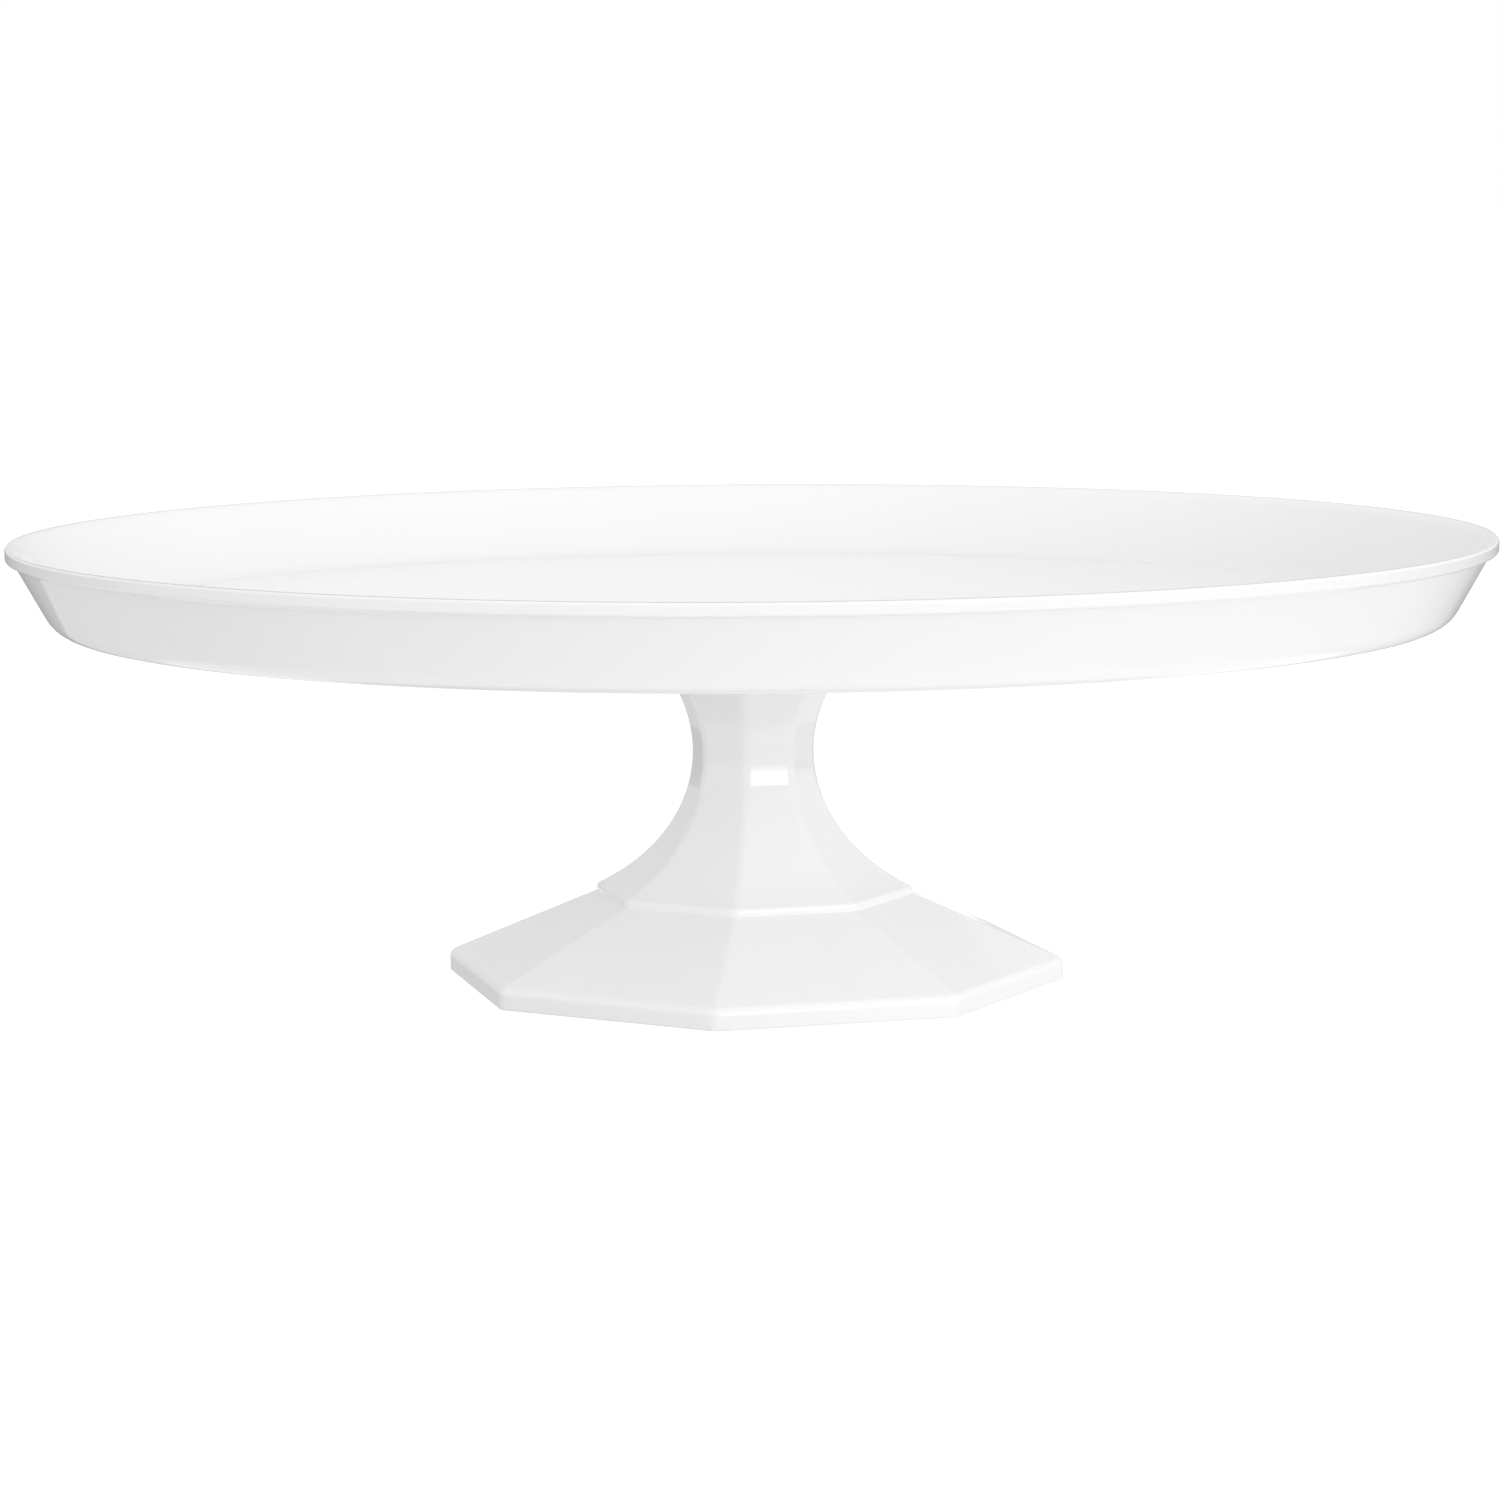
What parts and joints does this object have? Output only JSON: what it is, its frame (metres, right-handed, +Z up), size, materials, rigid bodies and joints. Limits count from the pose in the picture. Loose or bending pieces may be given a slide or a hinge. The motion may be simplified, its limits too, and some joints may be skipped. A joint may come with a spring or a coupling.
{
  "type": "cake stand",
  "caption": "White plastic pedestal cake stand: a wide round plate with a low slanted wall and a thin lip, plugged onto a waisted octagonal pedestal.",
  "frame": {"origin": "centre of the foot's underside, on the surface the stand rests on", "axes": "+Z up along the stand's axis; the pedestal's corners lie on X and Y and half way between them"},
  "size_m": [0.35, 0.35, 0.1059],
  "materials": {
    "white_plastic": "gloss"
  },
  "bodies": {
    "pedestal": {"pedestal": "white_plastic"},
    "plate": {"plate": "white_plastic"}
  },
  "joints": [
    {"name": "plate_lift", "type": "slide", "parent": "pedestal", "child": "plate", "axis": [0, 0, 1], "range_m": [0, 0.03]}
  ]
}
